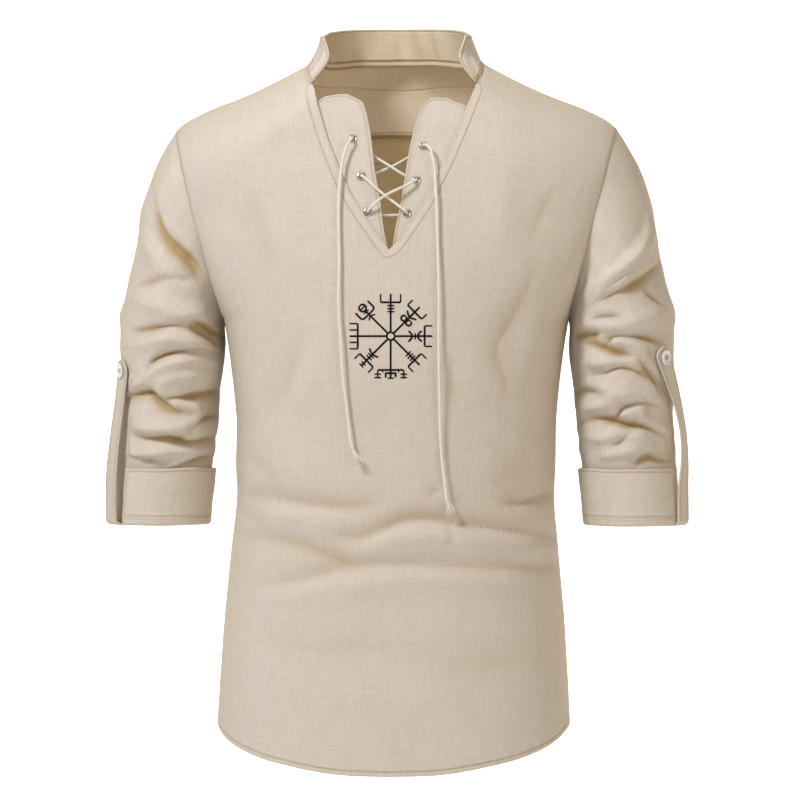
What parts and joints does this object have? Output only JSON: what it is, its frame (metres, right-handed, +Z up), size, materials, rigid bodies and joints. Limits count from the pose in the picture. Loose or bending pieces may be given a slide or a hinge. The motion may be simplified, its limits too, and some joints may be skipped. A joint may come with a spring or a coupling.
{
  "type": "linen pullover shirt",
  "caption": "Worn linen pullover shirt, hollow, with a band collar, laced V slit, crumpled rolled sleeves with buttoned tabs and a curved hem.",
  "frame": {"origin": "middle of the neck, at the height where the shoulders carry the cloth", "axes": "+Z up, -Y out of the chest, +X towards the wearer's left"},
  "size_m": [0.5981, 0.2627, 0.7701],
  "materials": {
    "linen": "plain-woven washed linen with fine slubs and a faint sheen",
    "lace": "round off-white cotton lace",
    "button": "polished pale resin",
    "eyelet": "bright nickel-plated metal"
  },
  "bodies": {
    "root": {"front": "linen", "back": "linen", "yoke": "linen", "collar": "linen", "placket_right": "linen", "placket_left": "linen", "sleeve_right": "linen", "sleeve_left": "linen", "cuff_right": "linen", "cuff_left": "linen", "tab_right": "linen", "tab_left": "linen", "button_right": "button", "button_left": "button", "eyelet_right_1": "eyelet", "eyelet_right_2": "eyelet", "eyelet_right_3": "eyelet", "eyelet_left_1": "eyelet", "eyelet_left_2": "eyelet", "eyelet_left_3": "eyelet", "lace_crossing": "lace", "lace_end_right": "lace", "lace_end_left": "lace", "tassel_right": "lace", "tassel_left": "lace"}
  },
  "joints": []
}
